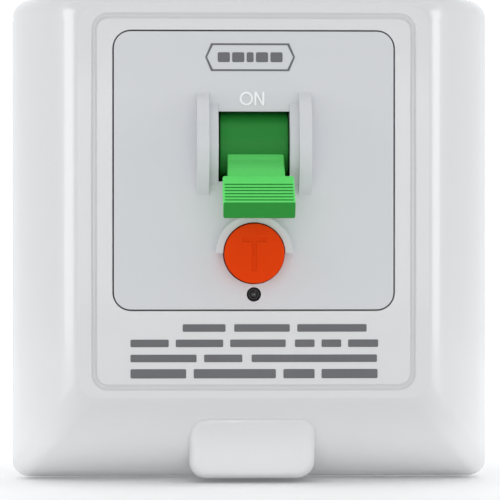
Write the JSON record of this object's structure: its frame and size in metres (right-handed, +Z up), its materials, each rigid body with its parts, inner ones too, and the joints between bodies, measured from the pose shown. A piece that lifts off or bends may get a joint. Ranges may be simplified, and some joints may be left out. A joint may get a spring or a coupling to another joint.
{
  "type": "residual current device",
  "caption": "Wall-mounted residual current device in a flared square flip cover, with a toggle handle, a test button, an indicator and a rear pod with terminals.",
  "frame": {"origin": "midway between the two wall screws, on the wall plane", "axes": "+X to the right seen from the room, +Z up, +Y into the wall; the front looks along -Y"},
  "size_m": [0.086, 0.0575, 0.086],
  "materials": {
    "cover_plastic": "polished moulded ABS",
    "face_plastic": "semi-gloss moulded polycarbonate",
    "base_plastic": "satin moulded polyamide",
    "green_plastic": "moulded thermoset, satin",
    "orange_plastic": "moulded, semi-gloss",
    "dark_plastic": "glass-filled, matt",
    "natural_nylon": "natural polyamide",
    "steel": "ground pin",
    "zinc_steel": "bright zinc plate",
    "spring_steel": "drawn wire",
    "core_alloy": "tape-wound alloy",
    "copper": "stamped copper",
    "brass": "stamped brass",
    "silver": "silver contact",
    "enamelled_wire": "enamelled copper wire",
    "red_insulation": "wire insulation",
    "blue_insulation": "wire insulation",
    "green_laminate": "solder-masked laminate",
    "chip_resin": "moulded epoxy",
    "capacitor_sleeve": "heat-shrink sleeve",
    "capacitor_box": "boxed film capacitor",
    "varistor_coat": "epoxy dip",
    "resistor_coat": "lacquer",
    "led_lens": "clear epoxy lens"
  },
  "bodies": {
    "root": {"base_housing": "base_plastic", "front_housing": "face_plastic", "hinge_pins": "steel", "housing_screws": "zinc_steel", "handle_pin": "steel", "handle_spring": "spring_steel", "mechanism_frame": "zinc_steel", "carrier_pin": "steel", "phase_fixed_contact": "copper", "neutral_fixed_contact": "copper", "fixed_contact_tips": "silver", "trip_yoke": "zinc_steel", "trip_bobbin": "natural_nylon", "trip_winding": "enamelled_wire", "plunger_spring": "spring_steel", "trip_pin": "steel", "transformer_case": "dark_plastic", "transformer_lid": "dark_plastic", "transformer_core": "core_alloy", "transformer_winding": "enamelled_wire", "phase_conductor": "red_insulation", "neutral_conductor": "blue_insulation", "circuit_board": "green_laminate", "control_chip": "chip_resin", "filter_capacitor": "capacitor_sleeve", "film_capacitor": "capacitor_box", "varistor": "varistor_coat", "thyristor": "chip_resin", "resistors": "resistor_coat", "diodes": "chip_resin", "button_support": "base_plastic", "test_leaf": "brass", "test_resistor": "resistor_coat", "indicator_led": "led_lens", "terminal_cages": "brass", "terminal_screws": "zinc_steel"},
    "cover": {"flip_cover": "cover_plastic"},
    "handle": {"handle": "green_plastic"},
    "link": {"handle_link": "spring_steel"},
    "carrier": {"contact_carrier": "dark_plastic", "phase_moving_arm": "copper", "neutral_moving_arm": "copper", "moving_contact_tips": "silver", "contact_springs": "spring_steel"},
    "button": {"test_button": "orange_plastic", "test_spring": "spring_steel"},
    "plunger": {"trip_plunger": "steel"},
    "trip_lever": {"trip_lever": "natural_nylon"}
  },
  "joints": [
    {"name": "cover_hinge", "type": "hinge", "parent": "root", "child": "cover", "pos_m": [0, -0.005, 0.0412], "axis": [-1, 0, 0], "range_deg": [0, 95]},
    {"name": "handle_hinge", "type": "hinge", "parent": "root", "child": "handle", "pos_m": [0, -0.0223, 0.0165], "axis": [-1, 0, 0], "range_deg": [0, 66]},
    {"name": "link_hinge", "type": "hinge", "parent": "handle", "child": "link", "pos_m": [0, -0.01779, 0.01965], "axis": [1, 0, 0], "range_deg": [0, 68.3]},
    {"name": "carrier_hinge", "type": "hinge", "parent": "root", "child": "carrier", "pos_m": [0, -0.003, 0.0074], "axis": [1, 0, 0], "range_deg": [0, 27.1]},
    {"name": "test_slide", "type": "slide", "parent": "root", "child": "button", "axis": [0, 1, 0], "range_m": [0, 0.0015], "stiffness_N_per_m": 250, "springref_m": -0.002},
    {"name": "plunger_slide", "type": "slide", "parent": "root", "child": "plunger", "axis": [0, 0, -1], "range_m": [0, 0.002], "stiffness_N_per_m": 80, "springref_m": -0.003, "deforming": ["plunger_spring"]},
    {"name": "trip_hinge", "type": "hinge", "parent": "root", "child": "trip_lever", "pos_m": [0, -0.0135, 0.0194], "axis": [-1, 0, 0], "range_deg": [0, 12]}
  ],
  "couplings": [
    {"joint": "link_hinge", "follows": "handle_hinge", "ratio": 1.0332},
    {"joint": "carrier_hinge", "follows": "handle_hinge", "ratio": 0.4106},
    {"joint": "trip_hinge", "follows": "plunger_slide", "rad_per_m": 104.5}
  ]
}
